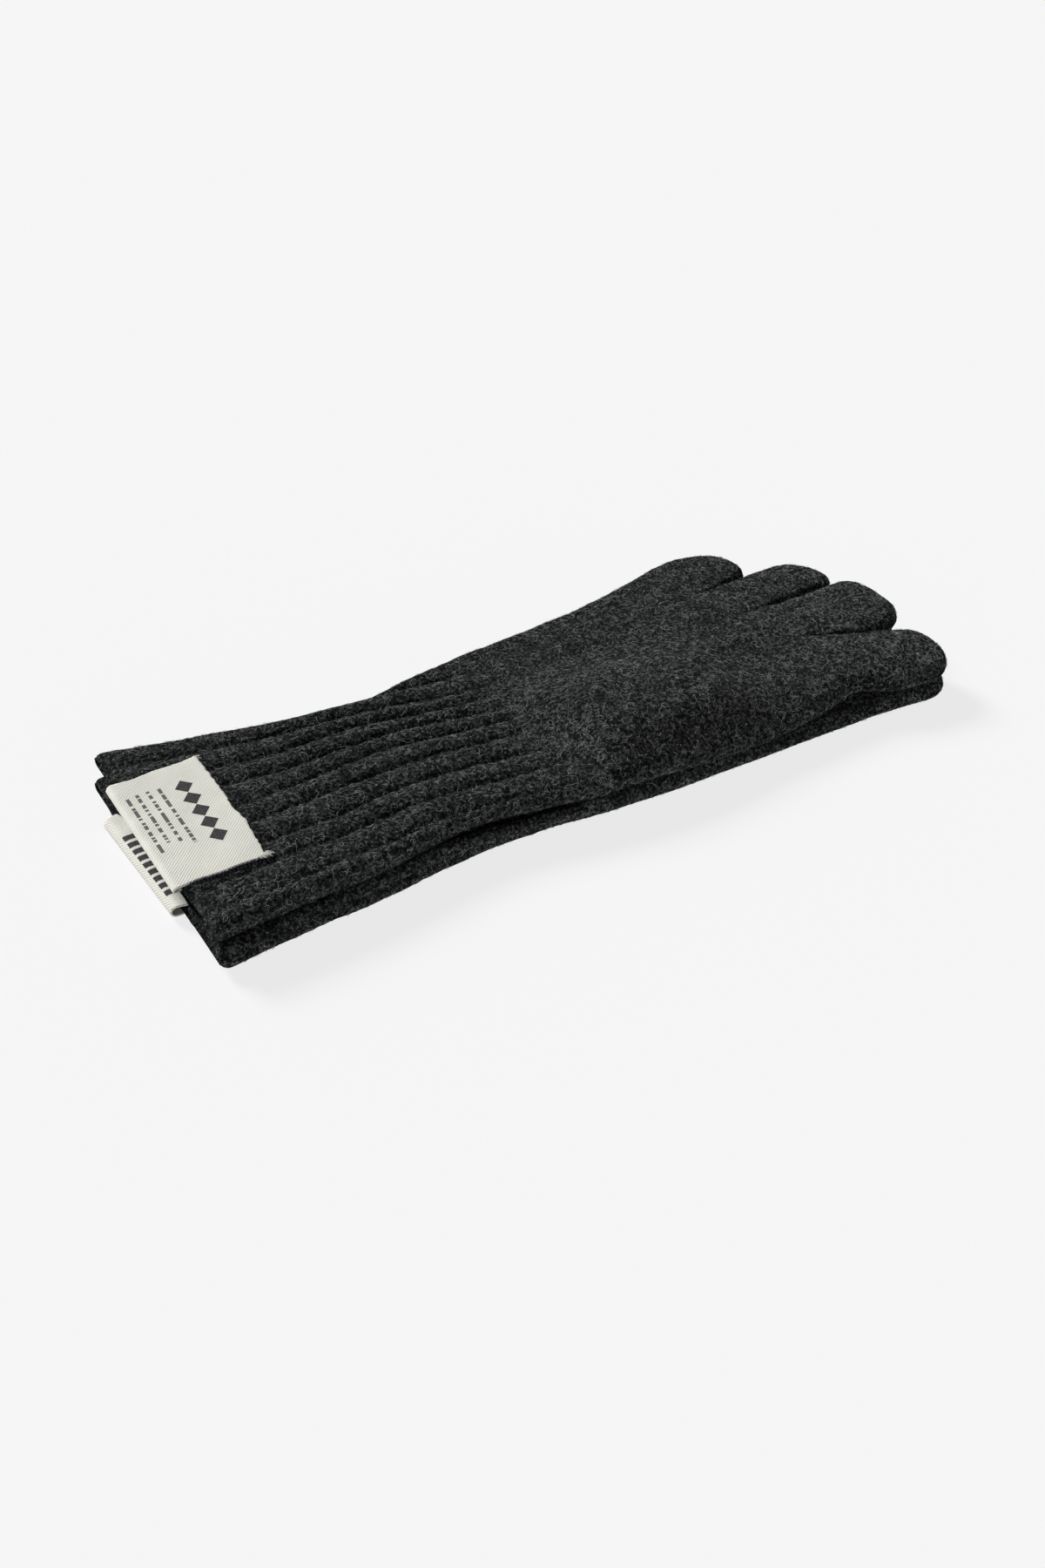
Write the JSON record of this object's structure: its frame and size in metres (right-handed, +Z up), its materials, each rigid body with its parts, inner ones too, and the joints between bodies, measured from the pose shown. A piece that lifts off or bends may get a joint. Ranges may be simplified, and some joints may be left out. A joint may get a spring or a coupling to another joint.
{
  "type": "pair of long ribbed knitted gloves",
  "caption": "Pair of long knitted wool gloves with ribbed cuffs and folded woven labels, laid flat palm to palm, one on the other.",
  "frame": {"origin": "centre of the stack's outline on the surface it lies on", "axes": "+X from the cuffs to the fingertips, +Y towards the little fingers, +Z up"},
  "size_m": [0.2712, 0.1018, 0.0229],
  "materials": {
    "wool_knit": "brushed melange wool, matte with a soft sheen",
    "label_twill": "undyed twill weave, matte",
    "label_thread": "dark sewing thread"
  },
  "bodies": {
    "lower_glove": {"lower_hand": "wool_knit", "lower_cuff": "wool_knit", "lower_label": "label_twill", "lower_label_seam_far": "label_thread", "lower_label_seam_near": "label_thread"},
    "upper_hand": {"upper_hand": "wool_knit"},
    "upper_cuff": {"upper_cuff": "wool_knit", "upper_label": "label_twill", "upper_label_seam_far": "label_thread", "upper_label_seam_near": "label_thread"},
    "lower_thumb": {"lower_thumb": "wool_knit"},
    "upper_thumb": {"upper_thumb": "wool_knit"},
    "lower_index_finger": {"lower_index_finger": "wool_knit"},
    "lower_middle_finger": {"lower_middle_finger": "wool_knit"},
    "lower_ring_finger": {"lower_ring_finger": "wool_knit"},
    "lower_little_finger": {"lower_little_finger": "wool_knit"},
    "upper_index_finger": {"upper_index_finger": "wool_knit"},
    "upper_middle_finger": {"upper_middle_finger": "wool_knit"},
    "upper_ring_finger": {"upper_ring_finger": "wool_knit"},
    "upper_little_finger": {"upper_little_finger": "wool_knit"}
  },
  "joints": [
    {"name": "upper_glove_lift", "type": "slide", "parent": "lower_glove", "child": "upper_hand", "axis": [0, 0, 1], "range_m": [0, 0.12]},
    {"name": "upper_cuff_fold", "type": "hinge", "parent": "upper_hand", "child": "upper_cuff", "pos_m": [-0.01557, -0.00211, 0.0191], "axis": [0, 1, 0], "range_deg": [0, 60]},
    {"name": "upper_index_fold", "type": "hinge", "parent": "upper_hand", "child": "upper_index_finger", "pos_m": [0.06443, -0.02911, 0.0151], "axis": [0, -1, 0], "range_deg": [0, 80]},
    {"name": "upper_middle_fold", "type": "hinge", "parent": "upper_hand", "child": "upper_middle_finger", "pos_m": [0.06443, -0.00111, 0.0151], "axis": [0, -1, 0], "range_deg": [0, 80]},
    {"name": "upper_ring_fold", "type": "hinge", "parent": "upper_hand", "child": "upper_ring_finger", "pos_m": [0.06443, 0.01689, 0.0151], "axis": [0, -1, 0], "range_deg": [0, 80]},
    {"name": "upper_little_fold", "type": "hinge", "parent": "upper_hand", "child": "upper_little_finger", "pos_m": [0.06443, 0.03789, 0.0151], "axis": [0, -1, 0], "range_deg": [0, 80]},
    {"name": "lower_index_spread", "type": "hinge", "parent": "lower_glove", "child": "lower_index_finger", "pos_m": [0.06443, -0.04811, 0.0037], "axis": [0, 0, -1], "range_deg": [0, 12]},
    {"name": "lower_middle_spread", "type": "hinge", "parent": "lower_glove", "child": "lower_middle_finger", "pos_m": [0.06443, -0.00941, 0.0037], "axis": [0, 0, -1], "range_deg": [0, 6]},
    {"name": "lower_ring_spread", "type": "hinge", "parent": "lower_glove", "child": "lower_ring_finger", "pos_m": [0.06443, 0.02569, 0.0037], "axis": [0, 0, 1], "range_deg": [0, 6]},
    {"name": "lower_little_spread", "type": "hinge", "parent": "lower_glove", "child": "lower_little_finger", "pos_m": [0.06443, 0.04839, 0.0037], "axis": [0, 0, 1], "range_deg": [0, 12]},
    {"name": "lower_thumb_swing", "type": "hinge", "parent": "lower_glove", "child": "lower_thumb", "pos_m": [0.00343, -0.03311, 0.0095], "axis": [0, 0, -1], "range_deg": [0, 61]},
    {"name": "upper_thumb_drop", "type": "hinge", "parent": "upper_hand", "child": "upper_thumb", "pos_m": [0.00043, -0.02411, 0.0152], "axis": [0, 1, 0], "range_deg": [0, 61]}
  ],
  "couplings": [
    {"joint": "lower_middle_spread", "follows": "lower_index_spread", "ratio": 0.5},
    {"joint": "lower_ring_spread", "follows": "lower_little_spread", "ratio": 0.5},
    {"joint": "lower_thumb_swing", "follows": "upper_glove_lift", "rad_per_m": 8.7266},
    {"joint": "upper_thumb_drop", "follows": "upper_glove_lift", "rad_per_m": 8.7266}
  ]
}
